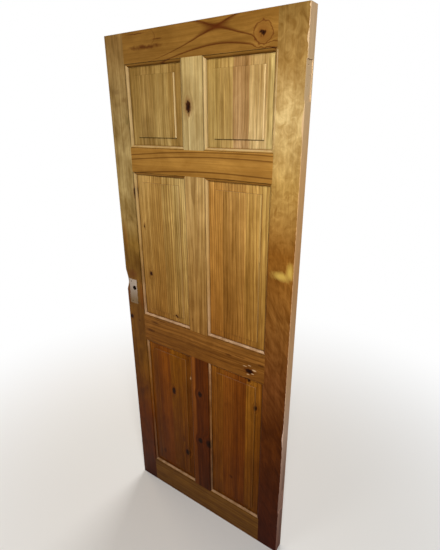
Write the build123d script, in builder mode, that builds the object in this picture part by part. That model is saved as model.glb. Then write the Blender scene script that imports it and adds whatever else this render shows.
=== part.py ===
from build123d import *
import os

# Six-panel softwood door leaf, in millimetres.
# X runs from the lock edge to the hinge edge, Y from the outer face to the inner face and Z up.
# The origin is the middle of the bottom edge, half way through the thickness.

# The leaf
door_width = 762
door_height = 1981
door_thickness = 44
arris_radius = 1.5

# The frame members, measured across their flat faces between the mouldings
stile_face = 88
muntin_face = 82
top_rail_face = 93
frieze_rail_face = 86
lock_rail_face = 120
bottom_rail_face = 125
lower_opening_height = 687
top_opening_height = 274

# The moulding and the groove along the inner edges of the frame
groove_width = 20
groove_depth = 12
moulding_step = 1.5

# The raised and fielded panels
panel_thickness = 30
panel_margin = 27
field_step = 4
tongue_clearance = 0.25
panel_expansion = 3

# The dowels that hold the rails to the stiles
dowel_diameter = 10
dowel_length = 120
dowel_clearance = 0.05
dowel_end_gap = 0.8
dowels_in_a_joint = 2

# The recesses that the two hinges left in the hinge edge
hinge_length = 102
hinge_leaf_width = 38
hinge_recess_depth = 2.5
hinge_top_margin = 127
hinge_bottom_margin = 225
hinge_screw_diameter = 3.5
hinge_screw_depth = 30
hinge_screw_pitch = 25
hinge_screw_near_row = 14
hinge_screw_far_row = 28

# The holes that the lever and its tubular latch left in the lock stile
lever_height = 1045
lever_backset = 44
spindle_hole_diameter = 16
latch_bore_diameter = 24
latch_bore_depth = 65
latch_plate_length = 57
latch_plate_width = 25
latch_plate_recess = 3
latch_screw_spacing = 44
latch_screw_diameter = 2.5
latch_screw_depth = 15

# The splinter broken from the lock stile's outer arris
splinter_length = 98
splinter_depth = 8.5
splinter_height = 1079

# The splinter's bed at three points: shares of its length from the lower end, and of its depth
splinter_bed = ((0.16, 0.55), (0.4, 1), (0.66, 0.7))

half_width = door_width / 2
half_thickness = door_thickness / 2

# The moulding is as deep as the groove's cheek, and its round is square to the face
moulding_depth = (door_thickness - groove_width) / 2
ovolo_radius = moulding_depth - 2 * moulding_step
moulding_width = ovolo_radius + moulding_step

# Half widths to the flat faces, to the sight lines and to the bottoms of the grooves
stile_flat_x = half_width - stile_face
stile_sight_x = stile_flat_x - moulding_width
stile_groove_x = stile_sight_x + groove_depth
muntin_flat_x = muntin_face / 2
muntin_sight_x = muntin_flat_x + moulding_width

# Lower and upper edge of each rail's flat face, and which of the two carries a moulding
lock_rail_low = bottom_rail_face + lower_opening_height
top_rail_low = door_height - top_rail_face
frieze_rail_low = top_rail_low - top_opening_height - frieze_rail_face
rail_edges = {
    "bottom_rail": (0, bottom_rail_face),
    "lock_rail": (lock_rail_low, lock_rail_low + lock_rail_face),
    "frieze_rail": (frieze_rail_low, frieze_rail_low + frieze_rail_face),
    "top_rail": (top_rail_low, door_height),
}

# Each muntin stands between two rails
muntin_rails = {
    "bottom_muntin": ("bottom_rail", "lock_rail"),
    "middle_muntin": ("lock_rail", "frieze_rail"),
    "top_muntin": ("frieze_rail", "top_rail"),
}

# Planes with their x axis up the leaf, and on the two long edges
rail_start = Plane(origin=(-stile_groove_x, 0, 0), x_dir=(0, 0, 1), z_dir=(1, 0, 0))
hinge_edge = Plane(origin=(half_width, 0, 0), x_dir=(0, 1, 0), z_dir=(1, 0, 0))
lock_edge = Plane(origin=(-half_width, 0, 0), x_dir=(0, -1, 0), z_dir=(-1, 0, 0))
outer_face = Plane(origin=(0, -half_thickness, 0), x_dir=(1, 0, 0), z_dir=(0, -1, 0))


def member_section(plane, flat_low, flat_high, low_moulded, high_moulded, round_edges=False):
    """Section of a frame member across its grain: a flat board with moulded and grooved edges."""
    with BuildSketch(plane) as section:
        with Locations(((flat_low + flat_high) / 2, 0)):
            Rectangle(flat_high - flat_low, door_thickness)
        if round_edges:
            plain_side = section.vertices().group_by(Axis.X)[-1 if low_moulded else 0]
            fillet(plain_side, arris_radius)
        for flat, outward, moulded in ((flat_low, -1, low_moulded), (flat_high, 1, high_moulded)):
            if not moulded:
                continue
            ovolo_x = flat + outward * ovolo_radius
            sight_x = flat + outward * moulding_width
            ovolo_y = half_thickness - moulding_step - ovolo_radius
            with BuildLine():
                Polyline((ovolo_x, ovolo_y), (sight_x, ovolo_y), (sight_x, -ovolo_y), (ovolo_x, -ovolo_y))
                start_angle = 0 if outward > 0 else 90
                CenterArc((flat, ovolo_y), ovolo_radius, start_angle, 90)
                CenterArc((flat, -ovolo_y), ovolo_radius, -90 - start_angle, 90)
                Line((flat, ovolo_y + ovolo_radius), (flat, -ovolo_y - ovolo_radius))
            make_face()
            with Locations((sight_x - outward * groove_depth / 2, 0)):
                Rectangle(groove_depth, groove_width, mode=Mode.SUBTRACT)
    return section.sketch


def keep(piece, label):
    """Name a finished piece and write its file."""
    piece.part.label = label
    export_step(piece.part, f"parts/{label}.step")


def dowel_places(rail, side):
    """Middles of the dowels between a rail and the stile on one side, at the bottom of its groove."""
    low, high = rail_edges[rail]
    pitch = (high - low) / dowels_in_a_joint
    return [(side * stile_groove_x, 0, low + pitch * (index + 0.5)) for index in range(dowels_in_a_joint)]


def drill_for_dowels(places):
    """Dowel holes in the piece being made, reaching as far on both sides of the joint."""
    for place in places:
        with Locations(Plane(origin=place, z_dir=(1, 0, 0))):
            Hole(dowel_diameter / 2 + dowel_clearance, dowel_length / 2 + dowel_end_gap)


def screw_holes(plane, middle, spacing, diameter, depth):
    """Two screw holes, one above the other, drilled in from a plane."""
    with Locations(plane):
        with Locations(middle):
            with GridLocations(0, spacing, 1, 2):
                Hole(diameter / 2, depth)


os.makedirs("parts", exist_ok=True)

# Stiles before drilling: full-height uprights, moulded and grooved along the inner edge
stile_stock = {}
for side in (-1, 1):
    with BuildPart() as stock:
        outer, inner = side * half_width, side * stile_flat_x
        extrude(
            member_section(Plane.XY, min(outer, inner), max(outer, inner), side > 0, side < 0, True),
            amount=door_height,
        )
    stile_stock[side] = stock.part

# Rails before drilling: their ends are cut to the reverse of the stiles' moulding, with a stub
# tongue that fills the stile's groove
rail_stock = {}
for rail, (low, high) in rail_edges.items():
    with BuildPart() as stock:
        section = member_section(rail_start, low, high, rail != "bottom_rail", rail != "top_rail")
        extrude(section, amount=2 * stile_groove_x)
        add(list(stile_stock.values()), mode=Mode.SUBTRACT)
    rail_stock[rail] = stock.part

# Lock stile: drilled for its dowels and for the lever's spindle and the tubular latch
with BuildPart() as lock_stile:
    add(stile_stock[-1])
    for rail in rail_edges:
        drill_for_dowels(dowel_places(rail, -1))
    with BuildSketch(lock_edge):
        with Locations((0, lever_height)):
            Rectangle(latch_plate_width, latch_plate_length)
    extrude(amount=-latch_plate_recess, mode=Mode.SUBTRACT)
    with Locations(lock_edge):
        with Locations((0, lever_height)):
            Hole(latch_bore_diameter / 2, latch_bore_depth)
    screw_holes(
        lock_edge, (0, lever_height), latch_screw_spacing, latch_screw_diameter,
        latch_plate_recess + latch_screw_depth,
    )
    with Locations(outer_face):
        with Locations((lever_backset - half_width, lever_height)):
            Hole(spindle_hole_diameter / 2)
    # The splinter's bed runs with the grain and across the arris
    across_arris = Plane(
        origin=(-half_width, -half_thickness, splinter_height), x_dir=(0, 0, 1), z_dir=(1, -1, 0)
    )
    splinter_end = splinter_length / 2
    bed_points = [
        (along * splinter_length - splinter_end, -down * splinter_depth) for along, down in splinter_bed
    ]
    with BuildSketch(across_arris):
        with BuildLine():
            Spline((-splinter_end, 0), *bed_points, (splinter_end, 0))
            Polyline(
                (splinter_end, 0), (splinter_end, splinter_depth),
                (-splinter_end, splinter_depth), (-splinter_end, 0),
            )
        make_face()
    extrude(amount=2 * splinter_depth, both=True, mode=Mode.SUBTRACT)
keep(lock_stile, "lock_stile")

# Hinge stile: drilled for its dowels, with a recess and four screw holes for each hinge
hinge_heights = (hinge_bottom_margin + hinge_length / 2, door_height - hinge_top_margin - hinge_length / 2)
with BuildPart() as hinge_stile:
    add(stile_stock[1])
    for rail in rail_edges:
        drill_for_dowels(dowel_places(rail, 1))
    with BuildSketch(hinge_edge):
        for height in hinge_heights:
            with Locations((hinge_leaf_width / 2 - half_thickness, height)):
                Rectangle(hinge_leaf_width, hinge_length)
    extrude(amount=-hinge_recess_depth, mode=Mode.SUBTRACT)
    for height in hinge_heights:
        for row, stagger in ((hinge_screw_near_row, 0.5), (hinge_screw_far_row, -0.5)):
            screw_holes(
                hinge_edge, (row - half_thickness, height + stagger * hinge_screw_pitch),
                2 * hinge_screw_pitch, hinge_screw_diameter, hinge_recess_depth + hinge_screw_depth,
            )
keep(hinge_stile, "hinge_stile")

# Muntins: short uprights with stub tongues, their ends cut to the reverse of the rails' moulding
for muntin, (lower_rail, upper_rail) in muntin_rails.items():
    foot = rail_edges[lower_rail][1] + moulding_width - groove_depth
    head = rail_edges[upper_rail][0] - moulding_width + groove_depth
    with BuildPart() as upright:
        section = member_section(Plane.XY.offset(foot), -muntin_flat_x, muntin_flat_x, True, True)
        extrude(section, amount=head - foot)
        add((rail_stock[lower_rail], rail_stock[upper_rail]), mode=Mode.SUBTRACT)
    keep(upright, muntin)

# Rails, drilled at both ends, and the plain round dowels that join them to the stiles
for rail, stock in rail_stock.items():
    with BuildPart() as crosspiece:
        add(stock)
        for side in (-1, 1):
            drill_for_dowels(dowel_places(rail, side))
    keep(crosspiece, rail)
    for side, side_name in ((-1, "lock"), (1, "hinge")):
        with BuildPart() as dowels:
            for place in dowel_places(rail, side):
                with Locations(Plane(origin=place, z_dir=(1, 0, 0))):
                    Cylinder(dowel_diameter / 2, dowel_length)
        keep(dowels, f"{rail}_{side_name}_side_dowels")

# Panels: a tongue all round sits in the grooves, and a bevelled margin rises to the field on both
# faces. Each stands on the bottom of its lower groove, with room to swell at the top and sides.
panel_rows = {"lower": "bottom_muntin", "middle": "middle_muntin", "upper": "top_muntin"}
for row, muntin in panel_rows.items():
    lower_rail, upper_rail = muntin_rails[muntin]
    sight_low = rail_edges[lower_rail][1] + moulding_width
    sight_high = rail_edges[upper_rail][0] - moulding_width
    sight_width = stile_sight_x - muntin_sight_x
    sight_height = sight_high - sight_low
    sight_middle = (sight_low + sight_high) / 2
    for side, side_name in ((-1, "left"), (1, "right")):
        middle_x = side * (stile_sight_x + muntin_sight_x) / 2
        tongue_reach = groove_depth - panel_expansion
        tongue_height = sight_height + groove_depth + tongue_reach
        tongue_middle = sight_low - groove_depth + tongue_height / 2
        tongue_thickness = groove_width - 2 * tongue_clearance
        raised_thickness = panel_thickness - 2 * field_step
        margin_rise = (raised_thickness - tongue_thickness) / 2
        with BuildPart() as panel:
            with Locations((middle_x, 0, sight_middle)):
                Box(sight_width, raised_thickness, sight_height)
            for face in panel.faces().filter_by(Axis.Y):
                chamfer(face.edges(), panel_margin, margin_rise, reference=face)
            with Locations((middle_x, 0, sight_middle)):
                Box(sight_width - 2 * panel_margin, panel_thickness, sight_height - 2 * panel_margin)
            with Locations((middle_x, 0, tongue_middle)):
                Box(sight_width + 2 * tongue_reach, tongue_thickness, tongue_height)
        keep(panel, f"{row}_{side_name}_panel")
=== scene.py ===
import math
import random

import bpy
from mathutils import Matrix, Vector


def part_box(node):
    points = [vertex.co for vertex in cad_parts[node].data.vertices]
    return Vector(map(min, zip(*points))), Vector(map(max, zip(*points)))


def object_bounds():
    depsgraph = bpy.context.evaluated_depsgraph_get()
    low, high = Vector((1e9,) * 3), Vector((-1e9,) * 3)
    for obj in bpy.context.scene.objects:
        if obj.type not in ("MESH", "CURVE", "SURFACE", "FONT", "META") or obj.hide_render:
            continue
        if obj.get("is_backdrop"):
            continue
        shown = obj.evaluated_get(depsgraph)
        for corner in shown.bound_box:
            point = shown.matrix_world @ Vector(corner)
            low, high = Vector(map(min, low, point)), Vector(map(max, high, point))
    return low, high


# A six-panel front door leaf of varnished pine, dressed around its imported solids.
# Everything is in metres: X from the lock edge to the hinge edge, Y from the outer face to the
# inner face and Z up, with the origin in the middle of the bottom edge.
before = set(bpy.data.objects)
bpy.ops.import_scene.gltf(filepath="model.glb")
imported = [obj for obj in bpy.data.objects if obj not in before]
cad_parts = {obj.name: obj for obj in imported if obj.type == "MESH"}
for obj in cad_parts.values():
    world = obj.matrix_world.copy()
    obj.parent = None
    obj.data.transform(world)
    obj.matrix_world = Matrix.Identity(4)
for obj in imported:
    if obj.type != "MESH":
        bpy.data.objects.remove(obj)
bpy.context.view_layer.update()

# Stiles
# The two full-height uprights, planed from knotty pine with an ovolo moulding run along the inner
# edge. Their gloss varnish has gone golden at the top and red-brown towards the foot, where the
# leaf has stood in damp, and the foot is painted darker still as shade.
leaf_height = 1.981
half_width = 0.381
half_thickness = 0.022


def linear(hex_colour):
    """Colour of an sRGB hex value, as Blender's colour sockets take it."""
    shares = [int(hex_colour[place:place + 2], 16) / 255 for place in (1, 3, 5)]
    return [s / 12.92 if s <= 0.04045 else ((s + 0.055) / 1.055) ** 2.4 for s in shares] + [1]


def add_node(tree, kind, *feeds, output=0, stops=None, **settings):
    """Adds a node with its settings, feeds its inputs in order and returns one of its outputs.

    A socket is linked, None leaves an input as it is, and anything else is the input's value.
    """
    node = tree.nodes.new(kind)
    for setting, value in settings.items():
        setattr(node, setting, value)
    if stops:
        elements = node.color_ramp.elements
        for place, colour in stops[1:-1]:
            elements.new(place).color = colour
        for element, (place, colour) in ((elements[0], stops[0]), (elements[-1], stops[-1])):
            element.position = place
            element.color = colour
    for socket, feed in zip([s for s in node.inputs if s.enabled], feeds):
        if isinstance(feed, bpy.types.NodeSocket):
            tree.links.new(feed, socket)
        elif feed is not None:
            socket.default_value = feed
    return [s for s in node.outputs if s.enabled][output]


def grey(value):
    """A ramp colour with the same value in its three channels."""
    return [value, value, value, 1]


# How often each of the pine's patterns repeats in a metre: across the board, into it and along it.
# A real fibre is 0.04 mm wide, too fine to show, so the fibres are drawn more than 2 mm apart.
fibre_cycles = (420, 420, 9)

# Thin bands of resin 8 mm wide, broad ones 24 mm wide, and clouds 60 mm across
thin_band_cycles = (130, 130, 1.6)
broad_band_cycles = (42, 42, 0.9)
cloud_cycles = (16, 16, 9)

# The trunk's own bends, 110 mm across and 330 mm along
bend_cycles = (9, 9, 3)


def pine_board(
    name, early, late, pith, ring_width, seed, along_x=False, wander=0.006, rings=(), fade=None,
    lines=1.0, cloudy=0.2, streaky=1.0, knots=(), swirl=0.0, streaks=(), chips=(), staves=(), sap=None,
    rise=0.0, curve=0.0, bow=0.0,
):
    """Flat-sawn pine: growth rings round a pith that lies behind the face, cut by the saw.

    Each ring grows from pale soft early wood to a hard red-brown late line, which is what the eye
    takes for the grain. early and late are their colours, and pith is (across, depth behind the
    outer face, along). rise, curve and bow bend the pith along the board, which opens the rings
    into arches. rings lists (radius, strength, width) of the few strong ones, and fade the squared
    distances along the board between which they die away. lines is the strength of the others.
    cloudy and streaky are how uneven the tone is in patches and along the grain. knots, streaks
    and chips, where the varnish has flaked off, are (across, along, half width, half length), and
    swirl is the strength of the ring round a knot. staves gives the left edge and the tone of each
    strip that is glued up, then the right edge of the last, and sap (start, end, tone) of a
    sapwood edge. Everything is in metres.
    """
    material = bpy.data.materials.new(name)
    material.use_nodes = True
    tree = material.node_tree
    tree.nodes.remove(tree.nodes["Principled BSDF"])
    place = add_node(tree, "ShaderNodeTexCoord", output=3)
    board = place
    if along_x:
        split = add_node(tree, "ShaderNodeSeparateXYZ", place).node.outputs
        board = add_node(tree, "ShaderNodeCombineXYZ", split[2], split[1], split[0])
    seeded = add_node(tree, "ShaderNodeVectorMath", board, (seed * 3.7, seed * 1.3, seed * 5.1))
    tone = linear(early)

    # Staves come from different planks, so each has its own tone and its own place in the patterns
    if staves:
        across = add_node(tree, "ShaderNodeSeparateXYZ", board)
        low, high = staves[0][0], staves[-1][0]
        reach = add_node(tree, "ShaderNodeMapRange", across, low, high)
        draw = random.Random(seed)
        shares = [(edge - low) / (high - low) for edge, stave_tone in staves]
        shift = add_node(
            tree, "ShaderNodeValToRGB", reach,
            stops=[(share, [draw.random(), draw.random(), draw.random(), 1]) for share in shares],
        )
        tone = add_node(
            tree, "ShaderNodeValToRGB", reach,
            stops=[(share, linear(stave_tone)) for share, (edge, stave_tone) in zip(shares, staves)],
        )
        for ramp in (shift, tone):
            ramp.node.color_ramp.interpolation = "CONSTANT"
        seeded = add_node(tree, "ShaderNodeVectorMath", shift, (9, 9, 9), seeded, operation="MULTIPLY_ADD")

    # The trunk was never quite straight, so the rings wander a few millimetres
    stretched = add_node(tree, "ShaderNodeVectorMath", seeded, bend_cycles, operation="MULTIPLY")
    drift = add_node(tree, "ShaderNodeTexNoise", stretched, 1, 3, 0.5, output=1)
    drift = add_node(tree, "ShaderNodeVectorMath", drift, (0.5, 0.5, 0.5), operation="SUBTRACT")
    grown = add_node(
        tree, "ShaderNodeVectorMath", drift, (2 * wander, 2 * wander, 0), board, operation="MULTIPLY_ADD"
    )

    # Rings part and flow round each knot. Every mark goes three times as far into the board as
    # across it, and has an outline that is ragged by 8 mm waves, or by 13 mm ones on a ringed knot.
    ragged_cycles = 75 if swirl else 130
    rough = add_node(tree, "ShaderNodeTexNoise", board, ragged_cycles, 2, 0.5, output=1)
    rough = add_node(tree, "ShaderNodeVectorMath", rough, (0.5, 0.5, 0.5), operation="SUBTRACT")
    marks = []
    for across, along, half_across, half_along in (*knots, *streaks, *chips):
        centre = (across, -half_thickness, along)
        offset = add_node(tree, "ShaderNodeVectorMath", board, centre, operation="SUBTRACT")
        scaled = add_node(
            tree, "ShaderNodeVectorMath", offset, (1 / half_across, 0.3 / half_across, 1 / half_along),
            operation="MULTIPLY",
        )
        ragged = add_node(
            tree, "ShaderNodeVectorMath", rough, [0.9 + 0.7 * swirl] * 3, scaled, operation="MULTIPLY_ADD"
        )
        reach = add_node(tree, "ShaderNodeVectorMath", ragged, operation="LENGTH")
        marks.append(reach)
        if len(marks) > len(knots):
            continue
        pull = add_node(
            tree, "ShaderNodeMapRange", reach, 0.7, 4.0, 0.92, 0.0, interpolation_type="SMOOTHERSTEP"
        )
        flat = add_node(tree, "ShaderNodeVectorMath", offset, (-1, -1, 0), operation="MULTIPLY")
        grown = add_node(tree, "ShaderNodeVectorMath", flat, pull, grown, operation="MULTIPLY_ADD")
    knot_marks = marks[:len(knots)]
    streak_marks = marks[len(knots):len(knots) + len(streaks)]
    chip_marks = marks[len(knots) + len(streaks):]

    # A year's ring is a cylinder round the pith, which the board's face cuts into lines and arches
    pith_place = (pith[0], pith[1] - half_thickness, pith[2])
    centred = add_node(tree, "ShaderNodeVectorMath", grown, pith_place, operation="SUBTRACT")
    across, depth, along = add_node(tree, "ShaderNodeSeparateXYZ", centred).node.outputs
    squared = add_node(tree, "ShaderNodeMath", along, along, operation="MULTIPLY")
    across = add_node(tree, "ShaderNodeMath", squared, bow, across, operation="MULTIPLY_ADD")
    depth = add_node(tree, "ShaderNodeMath", along, rise, depth, operation="MULTIPLY_ADD")
    depth = add_node(tree, "ShaderNodeMath", squared, curve, depth, operation="MULTIPLY_ADD")
    radius = add_node(tree, "ShaderNodeCombineXYZ", across, depth, 0)
    radius = add_node(tree, "ShaderNodeVectorMath", radius, operation="LENGTH")
    years = add_node(tree, "ShaderNodeMath", radius, ring_width, operation="DIVIDE")
    if staves:
        pace = add_node(tree, "ShaderNodeMapRange", shift, 0, 1, 0.55, 1.5)
        years = add_node(tree, "ShaderNodeMath", years, pace, operation="MULTIPLY")

    # Years differ, so the rings are unevenly spaced and unevenly dark, and each ends sharply
    lean = add_node(tree, "ShaderNodeTexNoise", None, years, 0.35, 1, 0.5, noise_dimensions="1D")
    years = add_node(tree, "ShaderNodeMath", lean, 3.0, years, operation="MULTIPLY_ADD")
    season = add_node(tree, "ShaderNodeMath", years, operation="FRACT")
    number = add_node(tree, "ShaderNodeMath", years, operation="FLOOR")
    dark = add_node(
        tree, "ShaderNodeValToRGB", season,
        stops=[(0.0, grey(0.5)), (0.07, grey(0.0)), (0.5, grey(0.06)), (0.8, grey(0.6)), (1.0, grey(1.0))],
    )
    chance = add_node(tree, "ShaderNodeTexWhiteNoise", None, number, noise_dimensions="1D")
    chance = add_node(tree, "ShaderNodeMath", chance, 2, operation="POWER")
    chance = add_node(tree, "ShaderNodeMapRange", chance, 0, 1, 0.12 * lines, 1.15 * lines)
    dark = add_node(tree, "ShaderNodeMath", dark, chance, operation="MULTIPLY")
    if rings:
        low = rings[0][0] - 0.02
        high = rings[-1][0] + 0.02
        reach = add_node(tree, "ShaderNodeMapRange", radius, low, high)
        stops = [(0, grey(0))]
        for ring, strength, width in rings:
            stops.append(((ring - width - low) / (high - low), grey(0)))
            stops.append(((ring - low) / (high - low), grey(strength)))
            stops.append(((ring + 0.4 * width - low) / (high - low), grey(0)))
        strong = add_node(tree, "ShaderNodeValToRGB", reach, stops=stops + [(1, grey(0))])
        if fade:
            kept = add_node(tree, "ShaderNodeMapRange", squared, fade[0], fade[1], 1.0, 0.0)
            strong = add_node(tree, "ShaderNodeMath", strong, kept, operation="MULTIPLY")
        dark = add_node(tree, "ShaderNodeMath", dark, strong, operation="MAXIMUM")
    for reach in streak_marks:
        smear = add_node(tree, "ShaderNodeMapRange", reach, 0.3, 1.1, 0.8, 0.0)
        dark = add_node(tree, "ShaderNodeMath", dark, smear, operation="MAXIMUM")

    # Fibres and bands of resin run along the board with the rings. Where the wood is darker it is
    # redder too, so green and blue fall further than red.
    flow = add_node(tree, "ShaderNodeVectorMath", grown, board, operation="SUBTRACT")
    seeded = add_node(tree, "ShaderNodeVectorMath", seeded, flow)
    stretched = add_node(tree, "ShaderNodeVectorMath", seeded, fibre_cycles, operation="MULTIPLY")
    fibre = add_node(tree, "ShaderNodeTexNoise", stretched, 1, 4, 0.7)
    grain = add_node(
        tree, "ShaderNodeMapRange", fibre, 0.25, 0.75, 1 - 0.34 * streaky, 1 + 0.3 * streaky
    )
    colour = add_node(tree, "ShaderNodeMix", dark, tone, linear(late), data_type="RGBA")
    if sap:
        across = add_node(tree, "ShaderNodeSeparateXYZ", grown)
        edge = add_node(tree, "ShaderNodeMapRange", across, sap[0], sap[1], interpolation_type="SMOOTHSTEP")
        colour = add_node(tree, "ShaderNodeMix", edge, colour, linear(sap[2]), data_type="RGBA")
    colour = add_node(tree, "ShaderNodeVectorMath", colour, grain, operation="SCALE")
    redden = (1.0, 1.2, 1.6)
    for cycles, detail, uneven in (
        (thin_band_cycles, 3, 0.3 * streaky), (broad_band_cycles, 2, 0.26 * streaky),
        (cloud_cycles, 4, cloudy),
    ):
        stretched = add_node(tree, "ShaderNodeVectorMath", seeded, cycles, operation="MULTIPLY")
        patches = add_node(tree, "ShaderNodeTexNoise", stretched, 1, detail, 0.6, None, 0.4)
        patches = add_node(
            tree, "ShaderNodeMapRange", patches, (0.28, 0.28, 0.28), (0.72, 0.72, 0.72),
            [1 - share * uneven for share in redden], [1 + share * uneven for share in redden],
            data_type="FLOAT_VECTOR",
        )
        colour = add_node(tree, "ShaderNodeVectorMath", colour, patches, operation="MULTIPLY")

    # A knot is a sawn branch: a dark core, a black ring of bark and red-brown wood that fades into
    # the board within three of its own sizes. The core of a ringed knot is half as large.
    heart = 0.5 if swirl else 1.0
    branch_wood = linear("#7a431a")[:3]
    for reach in knot_marks:
        reach = add_node(tree, "ShaderNodeMapRange", reach, 0, 3)
        branch = add_node(
            tree, "ShaderNodeValToRGB", reach,
            stops=[
                (0.0, linear("#140804")), (0.16 * heart, linear("#241006")),
                (0.27 * heart, linear("#421f0c")), (0.32 * heart, linear("#1f0e06")),
                (0.37 * heart, linear("#4f2a10")[:3] + [0.8]), (0.5 * heart, branch_wood + [0.42]),
                (0.7, branch_wood + [0.12]), (0.78, linear("#55280e")[:3] + [swirl]),
                (0.87, branch_wood + [0.04]), (1.0, branch_wood + [0.0]),
            ],
        )
        colour = add_node(tree, "ShaderNodeMix", branch.node.outputs[1], colour, branch, data_type="RGBA")

    # A chip shows clean raw wood, written pale because the varnish's tint still goes over it
    for reach in chip_marks:
        flaked = add_node(tree, "ShaderNodeMapRange", reach, 0.7, 1.2, 0.85, 0.0)
        colour = add_node(tree, "ShaderNodeMix", flaked, colour, linear("#fff3e7"), data_type="RGBA")
    return dict(tree=tree, material=material, place=place, colour=colour, dark=dark, fibre=fibre)


# How the varnish has aged, and painted shade that darkens it towards the foot: shares of the
# height, and the tint over the new wood there
aged_tint_and_painted_shade = (
    (0.0, (0.3, 0.17, 0.06)), (0.2, (0.44, 0.26, 0.1)), (0.42, (0.66, 0.46, 0.25)),
    (0.6, (0.84, 0.73, 0.56)), (0.7, (1.0, 0.95, 0.86)), (0.8, (1.0, 1.0, 1.0)),
    (1.0, (0.86, 0.78, 0.62)),
)

# The ovolo moulding lies between these depths, counted from the middle of the leaf
moulding_middle = 0.0157
moulding_half = 0.0045

# Dirt and painted shade darken the quirk beside the flat face and the foot of the moulding: the
# depth of each line, half its width and the share of the light that it leaves
frame_dirt_and_shade_seams = ((0.0208, 0.0007, 0.5), (0.0109, 0.0009, 0.72))


def varnish(wood, bare=None, bare_colour=None, tint_and_shade=aged_tint_and_painted_shade, rub_and_highlight=0.95, dirt_and_shade_seams=frame_dirt_and_shade_seams):
    """Old brushed varnish: it tints the wood, and its soft gloss is broken by brush marks and scuffing.

    Pine's own gloss is dull, with a roughness near 0.8. Under varnish it is near 0.35, and weak and
    warm because the old coat is thin and scuffed. The tint by height darkens the wood towards the
    foot, partly as aged varnish and partly as painted shade. bare is where no varnish is left, and
    the share for the mouldings is how far they have lost it and are painted paler as a highlight.
    """
    tree = wood["tree"]
    across, deep, up = add_node(tree, "ShaderNodeSeparateXYZ", wood["place"]).node.outputs
    deep = add_node(tree, "ShaderNodeMath", deep, operation="ABSOLUTE")
    # The tint by height is aged varnish and painted shade, darker towards the foot
    height = add_node(tree, "ShaderNodeMapRange", up, 0, leaf_height)
    stops = [(share, [*shade, 1]) for share, shade in tint_and_shade]
    tint = add_node(tree, "ShaderNodeValToRGB", height, stops=stops)
    colour = add_node(tree, "ShaderNodeVectorMath", wood["colour"], tint, operation="MULTIPLY")

    # The coat varies over 30 mm across the leaf and 80 mm up it
    stretched = add_node(tree, "ShaderNodeVectorMath", wood["place"], (30, 30, 12), operation="MULTIPLY")
    sheen = add_node(tree, "ShaderNodeTexNoise", stretched, 1, 4, 0.6)
    roughness = add_node(tree, "ShaderNodeMapRange", sheen, 0.2, 0.8, 0.26, 0.44)

    # Mouldings facing up or to the hinge side are rubbed, bleached and dusty, and painted paler as a
    # highlight where the light falls on them
    facing = add_node(tree, "ShaderNodeNewGeometry", output=1)
    sideways, level, upward = add_node(tree, "ShaderNodeSeparateXYZ", facing).node.outputs
    reach = add_node(tree, "ShaderNodeMapRange", height, 0.25, 0.5, 0.45, 1.0)
    sideways = add_node(tree, "ShaderNodeMath", sideways, reach, operation="MULTIPLY")
    turned = add_node(tree, "ShaderNodeMath", sideways, upward, operation="MAXIMUM")
    turned = add_node(tree, "ShaderNodeMapRange", turned, 0.15, 0.65, 0.0, rub_and_highlight)
    moulding = add_node(tree, "ShaderNodeMath", deep, moulding_middle, moulding_half, operation="COMPARE")
    worn_and_highlit = add_node(tree, "ShaderNodeMath", turned, moulding, operation="MULTIPLY")
    patchy = add_node(tree, "ShaderNodeMapRange", sheen, 0.36, 0.58, 0.45, 1.1)
    worn_and_highlit = add_node(tree, "ShaderNodeMath", worn_and_highlit, patchy, operation="MULTIPLY")
    # Their pale tone is painted darker towards the foot, as shade
    rubbed_and_highlit = add_node(
        tree, "ShaderNodeValToRGB", height,
        stops=[
            (0.0, linear("#8a6242")), (0.07, linear("#ad8764")), (0.3, linear("#a8743e")),
            (0.47, linear("#c5a17d")), (0.6, linear("#be955b")), (0.82, linear("#c4a570")),
            (1.0, linear("#bc9d6f")),
        ],
    )
    grain = add_node(tree, "ShaderNodeMapRange", wood["fibre"], 0.25, 0.75, 0.8, 1.15)
    rubbed_and_highlit = add_node(tree, "ShaderNodeVectorMath", rubbed_and_highlit, grain, operation="SCALE")
    colour = add_node(tree, "ShaderNodeMix", worn_and_highlit, colour, rubbed_and_highlit, data_type="RGBA")

    # The seams of dirt and painted shade stop 9 mm short of the leaf's long edges, which have no moulding
    inside = add_node(tree, "ShaderNodeMath", across, operation="ABSOLUTE")
    inside = add_node(tree, "ShaderNodeMath", inside, half_width - 0.009, operation="LESS_THAN")
    for depth, half_line, left in dirt_and_shade_seams:
        line = add_node(tree, "ShaderNodeMath", deep, depth, half_line, operation="COMPARE")
        line = add_node(tree, "ShaderNodeMath", line, inside, operation="MULTIPLY")
        line = add_node(tree, "ShaderNodeMapRange", line, 0, 1, 1, left)
        colour = add_node(tree, "ShaderNodeVectorMath", colour, line, operation="SCALE")
    if bare:
        colour = add_node(tree, "ShaderNodeMix", bare, colour, bare_colour, data_type="RGBA")
        roughness = add_node(tree, "ShaderNodeMix", bare, roughness, 0.8)
    relief = add_node(tree, "ShaderNodeMath", wood["dark"], 0.5, wood["fibre"], operation="MULTIPLY_ADD")
    relief = add_node(tree, "ShaderNodeMath", sheen, 0.8, relief, operation="MULTIPLY_ADD")
    bump = add_node(tree, "ShaderNodeBump", 0.35, 0.0006, None, relief)
    surface = tree.nodes.new("ShaderNodeBsdfPrincipled")
    tree.links.new(colour, surface.inputs["Base Color"])
    tree.links.new(roughness, surface.inputs["Roughness"])
    tree.links.new(bump, surface.inputs["Normal"])
    surface.inputs["Specular IOR Level"].default_value = 0.06
    surface.inputs["Specular Tint"].default_value = (1.0, 0.66, 0.34, 1.0)
    tree.links.new(surface.outputs[0], tree.nodes["Material Output"].inputs["Surface"])
    return wood["material"]


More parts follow.
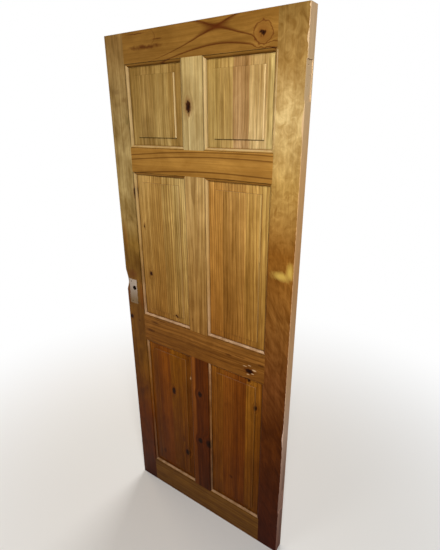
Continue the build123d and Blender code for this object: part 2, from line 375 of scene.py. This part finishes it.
def spot(tree, place, across, up, half_across, half_up):
    """Distance from a point on the outer face, counted in the half sizes of an oval round it.

    The oval reaches 50 mm into the board.
    """
    centre = (across, -half_thickness, up)
    offset = add_node(tree, "ShaderNodeVectorMath", place, centre, operation="SUBTRACT")
    sizes = (1 / half_across, 1 / 0.05, 1 / half_up)
    offset = add_node(tree, "ShaderNodeVectorMath", offset, sizes, operation="MULTIPLY")
    return add_node(tree, "ShaderNodeVectorMath", offset, operation="LENGTH")


def dress(node, material):
    """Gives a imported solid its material."""
    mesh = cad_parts[node].data
    mesh.materials.clear()
    mesh.materials.append(material)


# Lock stile: a pale board with soft grey-brown clouds. The lever's plate has kept its rectangle
# from the varnish, and a long splinter has torn out of the arris beside it.
wood = pine_board(
    "lock_stile_pine", "#a5834a", "#6c4d22", pith=(-0.30, 0.09, 1.2), ring_width=0.009, seed=1,
    wander=0.01, lines=0.5, cloudy=0.4, streaky=0.6, rise=0.02, curve=0.01,
    knots=[(-0.368, 0.904, 0.007, 0.008), (-0.286, 0.875, 0.006, 0.008), (-0.287, 1.452, 0.007, 0.018)],
    streaks=[(-0.323, 0.894, 0.010, 0.006), (-0.318, 1.345, 0.003, 0.012)],
)
tree = wood["tree"]

# Its marks have ragged outlines, in waves 7 mm long, up to 6 mm astray across the grain and 9 mm
# along it
rough = add_node(tree, "ShaderNodeTexNoise", wood["place"], 150, 3, 0.6, output=1)
rough = add_node(tree, "ShaderNodeVectorMath", rough, (0.5, 0.5, 0.5), operation="SUBTRACT")
ragged = add_node(
    tree, "ShaderNodeVectorMath", rough, (0.012, 0, 0.018), wood["place"], operation="MULTIPLY_ADD"
)
across, deep, up = add_node(tree, "ShaderNodeSeparateXYZ", ragged).node.outputs
on_face = add_node(tree, "ShaderNodeMath", deep, -0.0205, operation="LESS_THAN")

# Stains: red-brown ones round the plate's place, where hands met the door, and grey-brown ones
# higher up. Each is (across, up, half width, half height, strength, colour).
stains = (
    (-0.343, 1.106, 0.03, 0.022, 0.65, "#84523a"), (-0.372, 1.01, 0.012, 0.045, 0.75, "#84523a"),
    (-0.298, 1.02, 0.012, 0.06, 0.5, "#b8733a"), (-0.362, 1.265, 0.010, 0.06, 0.55, "#a8753a"),
    (-0.343, 1.802, 0.024, 0.009, 0.45, "#7d5c33"), (-0.307, 1.776, 0.014, 0.009, 0.45, "#70491c"),
    (-0.345, 1.760, 0.022, 0.008, 0.35, "#7a5a2e"), (-0.300, 1.705, 0.009, 0.013, 0.35, "#6f5d2e"),
    (-0.306, 1.43, 0.004, 0.05, 0.4, "#7a5a2e"), (-0.33, 1.62, 0.006, 0.03, 0.3, "#7a5a2e"),
)
for stain_across, stain_up, half_across, half_up, strength, tone in stains:
    stain = spot(tree, ragged, stain_across, stain_up, half_across, half_up)
    stain = add_node(tree, "ShaderNodeMapRange", stain, 0.4, 1.35, strength, 0.0)
    wood["colour"] = add_node(tree, "ShaderNodeMix", stain, wood["colour"], linear(tone), data_type="RGBA")

# The lever's plate kept the varnish off, and has left raw grey wood
plate_across = -0.3445
plate_up = 1.027
plate_half_width = 0.0215
plate_half_height = 0.055
wide = add_node(tree, "ShaderNodeMath", across, plate_across, plate_half_width, operation="COMPARE")
tall = add_node(tree, "ShaderNodeMath", up, plate_up, plate_half_height, operation="COMPARE")
plate_mark = add_node(tree, "ShaderNodeMath", wide, tall, operation="MULTIPLY")
plate_mark = add_node(tree, "ShaderNodeMath", plate_mark, on_face, operation="MULTIPLY")

# The torn splinter bares fresher wood, on the face that slopes across the arris at 45 degrees
splinter_up = 1.079
splinter_half_height = 0.0485
facing = add_node(tree, "ShaderNodeNewGeometry", output=1)
torn = add_node(tree, "ShaderNodeVectorMath", facing, (-0.7071, -0.7071, 0), operation="DOT_PRODUCT")
torn = add_node(tree, "ShaderNodeMapRange", torn, 0.8, 0.9)
gone = add_node(tree, "ShaderNodeMath", up, splinter_up, splinter_half_height, operation="COMPARE")
torn = add_node(tree, "ShaderNodeMath", torn, gone, operation="MULTIPLY")
bare = add_node(tree, "ShaderNodeMath", plate_mark, torn, operation="MAXIMUM")
shade = add_node(tree, "ShaderNodeMapRange", up, 0.99, 1.055)
raw = add_node(tree, "ShaderNodeMix", shade, linear("#8d7456"), linear("#c0ae9c"), data_type="RGBA")
raw = add_node(tree, "ShaderNodeMix", torn, raw, linear("#c29a6c"), data_type="RGBA")
grain = add_node(tree, "ShaderNodeMapRange", wood["fibre"], 0.25, 0.75, 0.66, 1.2)
raw = add_node(tree, "ShaderNodeVectorMath", raw, grain, operation="SCALE")

# The plate's four screws and the spindle have left dark holes
spindle_across = -0.337
spindle_up = 1.045
spindle_radius = 0.0092
screw_radius = 0.0022
holes = [
    (spindle_across + side * 0.017, plate_up + end * 0.045, screw_radius)
    for side in (-1, 1) for end in (-1, 1)
]
for hole_across, hole_up, hole_radius in (*holes, (spindle_across, spindle_up, spindle_radius)):
    centre = (hole_across, 0, hole_up)
    hole = add_node(tree, "ShaderNodeVectorMath", wood["place"], centre, operation="SUBTRACT")
    hole = add_node(tree, "ShaderNodeVectorMath", hole, (1, 0, 1), operation="MULTIPLY")
    hole = add_node(tree, "ShaderNodeVectorMath", hole, operation="LENGTH")
    hole = add_node(tree, "ShaderNodeMapRange", hole, hole_radius, hole_radius + 0.0008, 1.0, 0.0)
    raw = add_node(tree, "ShaderNodeMix", hole, raw, linear("#150b05"), data_type="RGBA")
    if hole_radius == screw_radius:
        hole = add_node(tree, "ShaderNodeMath", hole, on_face, operation="MULTIPLY")
    bare = add_node(tree, "ShaderNodeMath", bare, hole, operation="MAXIMUM")

# How its varnish has aged, and painted shade that darkens it towards the foot. Above 1, the wood
# there is paler than the board's own tone.
lock_stile_tint_and_painted_shade = (
    (0.0, (0.117, 0.025, 0.002)), (0.2, (0.357, 0.117, 0.006)), (0.36, (0.462, 0.276, 0.067)),
    (0.46, (0.453, 0.282, 0.117)), (0.53, (0.542, 0.392, 0.194)), (0.63, (0.661, 0.553, 0.311)),
    (0.72, (1.15, 1.271, 1.478)), (0.86, (0.956, 1.029, 1.177)), (1.0, (0.603, 0.51, 0.408)),
)
dress("lock_stile", varnish(wood, bare, raw, lock_stile_tint_and_painted_shade, rub_and_highlight=0.8))

# Hinge stile: a figured board with a rippled golden grain that catches the light, over a feathered
# red-brown foot. Its hinge edge was planed back to bare wood and never varnished again.
wood = pine_board(
    "hinge_stile_pine", "#b98a48", "#96642c", pith=(0.60, 0.05, 0.9), ring_width=0.011, seed=2,
    wander=0.016, lines=0.3, cloudy=0.2, streaky=0.35, rise=-0.03, curve=0.02,
)
tree = wood["tree"]

# Ripples 26 mm apart above, and below them a feather of brown streaks 29 mm apart that lean in
# from the foot. Where the figure is dark it is redder too.
ripple = add_node(tree, "ShaderNodeVectorMath", wood["place"], (38, 38, 30), operation="MULTIPLY")
ripple = add_node(tree, "ShaderNodeTexNoise", ripple, 1, 4, 0.6, None, 1.1)
ripple = add_node(tree, "ShaderNodeMapRange", ripple, 0.32, 0.7, 0.72, 1.3)
feather = add_node(tree, "ShaderNodeVectorRotate", wood["place"], (0.29, 0, 0.7), (0, 1, 0), 0.5)
feather = add_node(tree, "ShaderNodeVectorMath", feather, (34, 22, 8), operation="MULTIPLY")
feather = add_node(tree, "ShaderNodeTexNoise", feather, 1, 3, 0.6, None, 1.8)
feather = add_node(tree, "ShaderNodeMapRange", feather, 0.32, 0.7, 0.66, 1.4)
across, deep, up = add_node(tree, "ShaderNodeSeparateXYZ", wood["place"]).node.outputs
rippled = add_node(tree, "ShaderNodeMapRange", up, 1.1, 1.45, interpolation_type="SMOOTHSTEP")
figure = add_node(tree, "ShaderNodeMix", rippled, feather, ripple)
shades = add_node(
    tree, "ShaderNodeMapRange", figure, (0.7, 0.7, 0.7), (1.3, 1.3, 1.3),
    (0.76, 0.67, 0.52), (1.26, 1.31, 1.4), data_type="FLOAT_VECTOR",
)
wood["colour"] = add_node(tree, "ShaderNodeVectorMath", wood["colour"], shades, operation="MULTIPLY")

# Two spots where the curled grain throws back far more light are painted as a yellow glint, a
# painted highlight. They are written brighter than white because the varnish's tint halves them.
glinting = [1.3, 1.15, 0.42, 1.0]
for near_across, near_up, half_across, half_up in (
    (0.338, 1.240, 0.03, 0.014), (0.368, 1.258, 0.012, 0.026),
):
    glint = spot(tree, wood["place"], near_across, near_up, half_across, half_up)
    glint = add_node(tree, "ShaderNodeMath", glint, figure, operation="DIVIDE")
    glint = add_node(tree, "ShaderNodeMapRange", glint, 0.3, 1.4, 0.85, 0.0)
    wood["colour"] = add_node(tree, "ShaderNodeMix", glint, wood["colour"], glinting, data_type="RGBA")

# The arris has worn through by a millimetre or two in waves 18 mm long, and by more where hands
# and the jamb rubbed it, and its pale bare wood also stands in for a painted highlight along the
# arris. Each of those places is (up, half length, depth).
reach = add_node(tree, "ShaderNodeMath", across, deep, operation="SUBTRACT")
wear_and_painted_light = add_node(tree, "ShaderNodeVectorMath", wood["place"], (0, 0, 55), operation="MULTIPLY")
wear_and_painted_light = add_node(tree, "ShaderNodeTexNoise", wear_and_painted_light, 1, 4, 0.7)
wear_and_painted_light = add_node(tree, "ShaderNodeMapRange", wear_and_painted_light, 0.4, 0.75, 0.0006, 0.0025)
rubbed_and_highlit_places = ((1.902, 0.022, 0.0035), (1.695, 0.055, 0.004), (1.973, 0.006, 0.003), (0.605, 0.05, 0.004))
for patch_up, half_length, depth in rubbed_and_highlit_places:
    patch = add_node(tree, "ShaderNodeMath", up, patch_up, operation="SUBTRACT")
    patch = add_node(tree, "ShaderNodeMath", patch, operation="ABSOLUTE")
    patch = add_node(
        tree, "ShaderNodeMapRange", patch, 0, half_length, depth, 0, interpolation_type="SMOOTHSTEP"
    )
    wear_and_painted_light = add_node(tree, "ShaderNodeMath", wear_and_painted_light, patch, operation="ADD")
corner = half_width + half_thickness
arris = add_node(tree, "ShaderNodeMath", corner, wear_and_painted_light, operation="SUBTRACT")
arris = add_node(tree, "ShaderNodeMath", reach, arris, operation="GREATER_THAN")

# The planed edge is raw wood, but below 0.6 m the half away from the face is painted darker as shade
planed = add_node(tree, "ShaderNodeMath", across, half_width - 0.0006, operation="GREATER_THAN")
kept = add_node(tree, "ShaderNodeMapRange", up, 0.35, 0.6, 0.42, 1.0)
kept = add_node(tree, "ShaderNodeMapRange", deep, -0.009, 0.004, 1.0, kept)
planed = add_node(tree, "ShaderNodeMath", planed, kept, operation="MULTIPLY")
bare = add_node(tree, "ShaderNodeMath", arris, planed, operation="MAXIMUM")

# Beside the upper panel, the arris between the flat face and the moulding is rubbed half pale,
# which also stands in for a painted highlight along it
inner_arris = add_node(tree, "ShaderNodeMath", across, 0.2941, 0.0012, operation="COMPARE")
beside_panel = add_node(tree, "ShaderNodeMath", up, 1.754, 0.128, operation="COMPARE")
rubbed_and_highlit = add_node(tree, "ShaderNodeMath", inner_arris, beside_panel, operation="MULTIPLY")
rubbed_and_highlit = add_node(tree, "ShaderNodeMath", rubbed_and_highlit, 0.5, operation="MULTIPLY")
bare = add_node(tree, "ShaderNodeMath", bare, rubbed_and_highlit, operation="MAXIMUM")

# The two hinge recesses were cut after the varnish, so their floors and ends are raw too
recess_floor = 0.3782
hinge_half_height = 0.0512
recess = add_node(tree, "ShaderNodeMath", across, recess_floor, operation="GREATER_THAN")
recess_deep = add_node(tree, "ShaderNodeMath", deep, -0.003, 0.0195, operation="COMPARE")
recess = add_node(tree, "ShaderNodeMath", recess, recess_deep, operation="MULTIPLY")
for hinge_up in (0.276, 1.803):
    leaf = add_node(tree, "ShaderNodeMath", up, hinge_up, hinge_half_height, operation="COMPARE")
    leaf = add_node(tree, "ShaderNodeMath", leaf, recess, operation="MULTIPLY")
    bare = add_node(tree, "ShaderNodeMath", bare, leaf, operation="MAXIMUM")
# The raw wood is painted darker towards the foot, as shade
height = add_node(tree, "ShaderNodeMapRange", up, 0, leaf_height)
raw = add_node(
    tree, "ShaderNodeValToRGB", height,
    stops=[
        (0.0, linear("#92695d")), (0.2, linear("#c29c8a")), (0.32, linear("#e0bda6")),
        (0.42, linear("#e2b78c")), (0.6, linear("#d3a16e")), (0.78, linear("#d9ab74")),
        (0.9, linear("#d0b288")), (1.0, linear("#cba981")),
    ],
)
grain = add_node(tree, "ShaderNodeMapRange", wood["fibre"], 0.25, 0.75, 0.78, 1.16)
raw = add_node(tree, "ShaderNodeVectorMath", raw, grain, operation="SCALE")

# How its varnish has aged, darker at the foot and the top than on the lock stile, the foot partly
# as painted shade. Near 1.7 m up it rises above 1, a painted band of glare from the hinge side.
hinge_stile_tint_and_painted_light = (
    (0.0, (0.104, 0.026, 0.026)), (0.16, (0.135, 0.048, 0.025)), (0.32, (0.199, 0.093, 0.041)),
    (0.42, (0.329, 0.195, 0.153)), (0.54, (0.448, 0.331, 0.231)), (0.66, (0.513, 0.374, 0.189)),
    (0.77, (0.85, 0.949, 0.944)), (0.86, (1.052, 1.379, 2.113)), (0.93, (0.667, 0.732, 0.789)),
    (1.0, (0.37, 0.369, 0.312)),
)
dress("hinge_stile", varnish(wood, bare, raw, hinge_stile_tint_and_painted_light, dirt_and_shade_seams=frame_dirt_and_shade_seams[1:]))

# Rails
# The four cross members. The top rail comes from near a fork of the trunk, so its rings meet in a
# saddle beside a knot; the others are sawn flat, with a few long rings bowed along them.
rails = {
    "top_rail": dict(
        early="#8c652d", late="#55270a", pith=(1.958, 0.080, 0.087), ring_width=0.03, lines=0.12, seed=3,
        curve=0.625, wander=0.004, streaky=0.45,
        rings=[(0.0455, 0.8, 0.0016), (0.0798, 1.0, 0.0016), (0.0913, 1.0, 0.003)], fade=(0.04, 0.075),
        knots=[(1.926, 0.247, 0.012, 0.0125)], swirl=0.85,
        streaks=[
            (1.957, 0.093, 0.0065, 0.019), (1.931, -0.19, 0.0075, 0.08), (1.972, -0.23, 0.0022, 0.06),
            (1.95, -0.14, 0.002, 0.03),
        ],
    ),
    "frieze_rail": dict(
        early="#a27331", late="#5f370f", pith=(1.13, 0.05, 0.12), ring_width=0.05, lines=0.1, seed=4,
        bow=0.117, wander=0.004, streaky=0.45,
        rings=[(0.4016, 0.9, 0.005), (0.419, 1.0, 0.005), (0.467, 1.0, 0.0045), (0.4826, 1.0, 0.004)],
    ),
    "lock_rail": dict(
        early="#a0763e", late="#532f0f", pith=(0.70, 0.06, 0.1), ring_width=0.017, lines=0.8, seed=5,
        bow=0.05, wander=0.014, cloudy=0.26,
        knots=[(0.844, 0.231, 0.008, 0.013), (0.803, 0.223, 0.006, 0.01)],
        streaks=[
            (0.882, 0.140, 0.006, 0.022), (0.890, 0.185, 0.0025, 0.045), (0.885, 0.280, 0.007, 0.022),
            (0.866, 0.02, 0.0014, 0.1), (0.835, 0.195, 0.002, 0.03), (0.925, -0.2, 0.002, 0.05),
            (0.848, 0.215, 0.004, 0.012), (0.910, -0.23, 0.006, 0.03), (0.865, -0.26, 0.008, 0.03),
        ],
        chips=[
            (0.854, 0.252, 0.0035, 0.009), (0.837, 0.245, 0.002, 0.006), (0.860, 0.212, 0.0016, 0.009),
            (0.868, 0.232, 0.0016, 0.007), (0.829, 0.226, 0.002, 0.006),
        ],
    ),
    "bottom_rail": dict(
        early="#bc9e67", late="#72521d", pith=(-0.12, 0.05, 0.0), ring_width=0.015, lines=0.4, seed=6,
        bow=0.03, wander=0.007,
    ),
}
for rail, figure in rails.items():
    dress(rail, varnish(pine_board(f"{rail}_pine", along_x=True, **figure)))

# Muntins
# The three short uprights between the panels, each from a different tree: the upper one nearly
# white and clear but for one knot, the lower one red heartwood.
muntins = {
    "top_muntin": dict(
        early="#c1a873", late="#765c2b", pith=(-0.10, 0.08, 1.7), ring_width=0.012, lines=0.5, seed=7,
        wander=0.004, knots=[(-0.017, 1.747, 0.0085, 0.0155)], streaks=[(-0.016, 1.724, 0.004, 0.008)],
    ),
    "middle_muntin": dict(
        early="#bb975d", late="#6d451b", pith=(-0.005, 0.035, 1.3), ring_width=0.009, lines=0.8, seed=8,
        wander=0.006, rise=0.03,
        streaks=[(-0.027, 0.983, 0.003, 0.013), (-0.022, 1.06, 0.0016, 0.05), (0.012, 1.35, 0.0016, 0.12)],
    ),
    "bottom_muntin": dict(
        early="#74400b", late="#411d07", pith=(0.02, 0.04, 0.5), ring_width=0.01, lines=0.7, seed=9,
        wander=0.006, rise=0.04, sap=(-0.018, -0.03, "#a66f37"),
        knots=[(-0.002, 0.640, 0.009, 0.012), (0.045, 0.398, 0.017, 0.017), (-0.005, 0.394, 0.010, 0.013)],
    ),
}
for muntin, figure in muntins.items():
    # The lower muntin's mouldings are rubbed down to the wood, and painted paler as a highlight
    rubbing_and_highlight = 1.6 if muntin == "bottom_muntin" else 0.95
    dress(muntin, varnish(pine_board(f"{muntin}_pine", **figure), rub_and_highlight=rubbing_and_highlight))

# Panels
# Six boards glued up from upright staves, then raised and fielded on both faces. The staves come
# from different planks, so their tone and the run of their fine rings change at every glue line.
panels = {
    "upper_left_panel": dict(
        staves=[
            (-0.292, "#9a7a41"), (-0.238, "#9f7f47"), (-0.176, "#a7884e"), (-0.105, "#9b7a41"),
            (-0.05, "#9b7a41"),
        ],
        late="#6d4a1f", seed=11, lines=0.5,
    ),
    "upper_right_panel": dict(
        staves=[
            (0.05, "#ad8f52"), (0.1, "#b9995c"), (0.147, "#ad8859"), (0.204, "#be9f69"), (0.262, "#ad935a"),
            (0.292, "#ad935a"),
        ],
        late="#735025", seed=12, lines=0.45,
    ),
    "middle_left_panel": dict(
        staves=[
            (-0.292, "#bd9654"), (-0.225, "#b38b4a"), (-0.16, "#c4a15f"), (-0.105, "#c7a96a"),
            (-0.05, "#c7a96a"),
        ],
        late="#6b4015", seed=13, lines=1.25, streaky=0.85,
        knots=[
            (-0.240, 1.128, 0.0065, 0.008), (-0.114, 0.968, 0.0055, 0.007), (-0.262, 1.32, 0.004, 0.007),
        ],
        streaks=[(-0.088, 1.27, 0.002, 0.1), (-0.088, 1.1, 0.0022, 0.06), (-0.075, 1.16, 0.0018, 0.1)],
    ),
    "middle_right_panel": dict(
        staves=[
            (0.05, "#b68541"), (0.11, "#ad8142"), (0.158, "#b68a49"), (0.2, "#c19852"), (0.25, "#bb9651"),
            (0.292, "#bb9651"),
        ],
        late="#6b4017", seed=14, lines=1.2, streaky=0.85,
        streaks=[(0.082, 1.25, 0.0015, 0.2), (0.141, 1.3, 0.0012, 0.16)],
    ),
    "lower_left_panel": dict(
        staves=[
            (-0.292, "#a06c1f"), (-0.235, "#a0661c"), (-0.165, "#a5751e"), (-0.1, "#9d6c1e"),
            (-0.05, "#9d6c1e"),
        ],
        late="#592e09", seed=15, lines=1.0,
        knots=[(-0.151, 0.593, 0.008, 0.015), (-0.087, 0.278, 0.010, 0.013)],
        streaks=[
            (-0.229, 0.212, 0.012, 0.02), (-0.135, 0.75, 0.0025, 0.045), (-0.066, 0.78, 0.006, 0.02),
            (-0.245, 0.51, 0.003, 0.05), (-0.105, 0.35, 0.008, 0.03), (-0.09, 0.70, 0.003, 0.02),
        ],
        chips=[(-0.058, 0.692, 0.005, 0.009)],
    ),
    "lower_right_panel": dict(
        staves=[
            (0.05, "#b17f34"), (0.11, "#a97230"), (0.16, "#a1682a"), (0.215, "#b18437"), (0.26, "#ab7c33"),
            (0.292, "#ab7c33"),
        ],
        late="#5c320c", seed=16, lines=1.0,
        knots=[(0.257, 0.682, 0.006, 0.010), (0.224, 0.795, 0.006, 0.006)],
        streaks=[
            *[(0.085 + 0.01 * step, 0.768, 0.0016, 0.008) for step in range(9)],
            (0.127, 0.735, 0.003, 0.012), (0.182, 0.6, 0.0025, 0.13), (0.15, 0.275, 0.012, 0.012),
        ],
    ),
}

# Dirt and painted shade leave only hair lines round a raised field, at the top and the foot of its step
panel_dirt_and_shade_seams = ((0.0111, 0.0002, 0.8), (0.0098, 0.0001, 0.85))
field_inset = 0.036
field_foot_inset = 0.039
field_depth = 0.0112
for panel, figure in panels.items():
    wood = pine_board(
        f"{panel}_pine", early="#9c7536", pith=(0.5, 0.35, 1.0), ring_width=0.008, wander=0.009,
        rise=0.02, **figure,
    )

    # The fields have a painted highlight along their arris on the hinge side and a painted shadow
    # under their lower edge, both far more on the upper panels
    wear_and_painted_light = 0.65 if panel.startswith("upper") else 0.12
    tree = wood["tree"]
    low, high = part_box(panel)
    field_middle = (low[0] + high[0]) / 2
    field_half = (high[0] - low[0]) / 2 - field_inset
    foot = low[2] + field_foot_inset
    top = high[2] - field_inset
    across, deep, up = add_node(tree, "ShaderNodeSeparateXYZ", wood["place"]).node.outputs
    raised = add_node(tree, "ShaderNodeMath", deep, operation="ABSOLUTE")
    raised = add_node(tree, "ShaderNodeMath", raised, field_depth, operation="GREATER_THAN")
    beside = add_node(tree, "ShaderNodeMath", across, high[0] - 0.0372, 0.0024, operation="COMPARE")
    inside = add_node(tree, "ShaderNodeMath", up, (foot + top) / 2, (top - foot) / 2, operation="COMPARE")
    painted_highlight_ridge = add_node(tree, "ShaderNodeMath", beside, inside, operation="MULTIPLY")
    painted_highlight_ridge = add_node(tree, "ShaderNodeMath", painted_highlight_ridge, raised, operation="MULTIPLY")
    painted_highlight_ridge = add_node(tree, "ShaderNodeMath", painted_highlight_ridge, wear_and_painted_light, operation="MULTIPLY")
    colour = add_node(tree, "ShaderNodeMix", painted_highlight_ridge, wood["colour"], linear("#f2d6a0"), data_type="RGBA")
    below = add_node(tree, "ShaderNodeMath", up, foot - 0.0016, 0.0018, operation="COMPARE")
    within = add_node(tree, "ShaderNodeMath", across, field_middle, field_half, operation="COMPARE")
    painted_shadow = add_node(tree, "ShaderNodeMath", below, within, operation="MULTIPLY")
    painted_shadow = add_node(tree, "ShaderNodeMapRange", painted_shadow, 0, 1, 1, 1 - 0.9 * wear_and_painted_light)
    wood["colour"] = add_node(tree, "ShaderNodeVectorMath", colour, painted_shadow, operation="SCALE")
    dress(panel, varnish(wood, rub_and_highlight=0.4, dirt_and_shade_seams=panel_dirt_and_shade_seams))

# Dowels
# Turned beech pegs, hidden in the joints between the rails and the stiles. Beech is pale and even,
# with short brown flecks, and is left without varnish inside a glued joint.
beech = bpy.data.materials.new("plain_beech")
beech.use_nodes = True
tree = beech.node_tree
place = add_node(tree, "ShaderNodeTexCoord", output=3)

# Flecks 1 mm wide and 17 mm long, ten times as coarse as real ones, which are too fine to show
stretched = add_node(tree, "ShaderNodeVectorMath", place, (60, 900, 900), operation="MULTIPLY")
fleck = add_node(tree, "ShaderNodeTexNoise", stretched, 1, 2, 0.5)
colour = add_node(
    tree, "ShaderNodeValToRGB", fleck, stops=[(0.3, linear("#b98f62")), (0.7, linear("#d2af84"))]
)
tree.links.new(colour, tree.nodes["Principled BSDF"].inputs["Base Color"])
tree.nodes["Principled BSDF"].inputs["Roughness"].default_value = 0.7
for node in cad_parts:
    if node.endswith("dowels"):
        dress(node, beech)

# Studio
# A pale paper floor that fades into white, a little light all round, and four soft lamps: one high
# on the hinge side, a window in front, one behind for the hidden face and a weak warm one on the
# lock side.


def hang_lamp(name, place, target, size, watts, tint="#ffffff"):
    """A square soft lamp aimed at a point."""
    lamp = bpy.data.lights.new(name, "AREA")
    lamp.size = size
    lamp.energy = watts
    lamp.color = linear(tint)[:3]
    holder = bpy.data.objects.new(name, lamp)
    holder.location = place
    holder.rotation_euler = (Vector(target) - Vector(place)).to_track_quat("-Z", "Y").to_euler()
    bpy.context.scene.collection.objects.link(holder)


hang_lamp("ceiling_lamp", (1.25, -1.5, 2.4), (0.0, 0, 1.5), 0.7, 45)
hang_lamp("front_window", (-0.8, -2.3, 1.5), (0.2, 0, 1.6), 0.9, 11)
hang_lamp("rear_lamp", (-0.7, 2.2, 2.5), (0, 0, 1.2), 1.4, 50)
hang_lamp("lock_side_lamp", (-2.3, 0.5, 1.6), (-0.3, 0, 1.0), 1.0, 14, "#ffe6c4")


def seen_as_backdrop(tree):
    """1 for rays from the camera, or mirrored or let through on their way to it, and 0 for light."""
    rays = tree.nodes.new("ShaderNodeLightPath").outputs
    seen = add_node(
        tree, "ShaderNodeMath", rays["Is Camera Ray"], rays["Is Glossy Ray"], operation="MAXIMUM"
    )
    return add_node(tree, "ShaderNodeMath", seen, rays["Is Transmission Ray"], operation="MAXIMUM")


world = bpy.data.worlds.new("studio")
bpy.context.scene.world = world
world.use_nodes = True
tree = world.node_tree
strength = add_node(tree, "ShaderNodeMix", seen_as_backdrop(tree), 0.14, 1.0)
tree.nodes["Background"].inputs["Color"].default_value = (1, 1, 1, 1)
tree.links.new(strength, tree.nodes["Background"].inputs["Strength"])

floor_mesh = bpy.data.meshes.new("studio_floor")
edge = 8
floor_mesh.from_pydata(
    [(-edge, -edge, 0), (edge, -edge, 0), (edge, edge, 0), (-edge, edge, 0)], [], [(0, 1, 2, 3)]
)
floor = bpy.data.objects.new("studio_floor", floor_mesh)
bpy.context.scene.collection.objects.link(floor)
paper = bpy.data.materials.new("studio_paper")
paper.use_nodes = True
tree = paper.node_tree
surface = tree.nodes["Principled BSDF"]
surface.inputs["Roughness"].default_value = 0.95
place = add_node(tree, "ShaderNodeTexCoord", output=3)
far = add_node(tree, "ShaderNodeVectorMath", place, operation="LENGTH")
far = add_node(tree, "ShaderNodeMapRange", far, 0.5, 2.2, interpolation_type="SMOOTHSTEP")
seen = seen_as_backdrop(tree)
tone = add_node(tree, "ShaderNodeMix", seen, linear("#8a7d68"), linear("#e9e7e3"), data_type="RGBA")
tree.links.new(tone, surface.inputs["Base Color"])
white = add_node(tree, "ShaderNodeMath", far, seen, operation="MULTIPLY")
glow = add_node(tree, "ShaderNodeEmission", (1, 1, 1, 1), 1.0)
blend = add_node(tree, "ShaderNodeMixShader", white, surface.outputs[0], glow)
tree.links.new(blend, tree.nodes["Material Output"].inputs["Surface"])
floor_mesh.materials.append(paper)
floor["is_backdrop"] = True

camera = bpy.data.objects.new("camera", bpy.data.cameras.new("camera"))
camera.data.lens = 26.206
camera.location = (0.8506, -1.1111, 1.7020)
camera.rotation_euler = [math.radians(turn) for turn in (69.0514, 0.2754, 34.3620)]
bpy.context.scene.collection.objects.link(camera)
bpy.context.scene.camera = camera
bpy.context.scene.view_settings.view_transform = "Standard"

low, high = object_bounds()
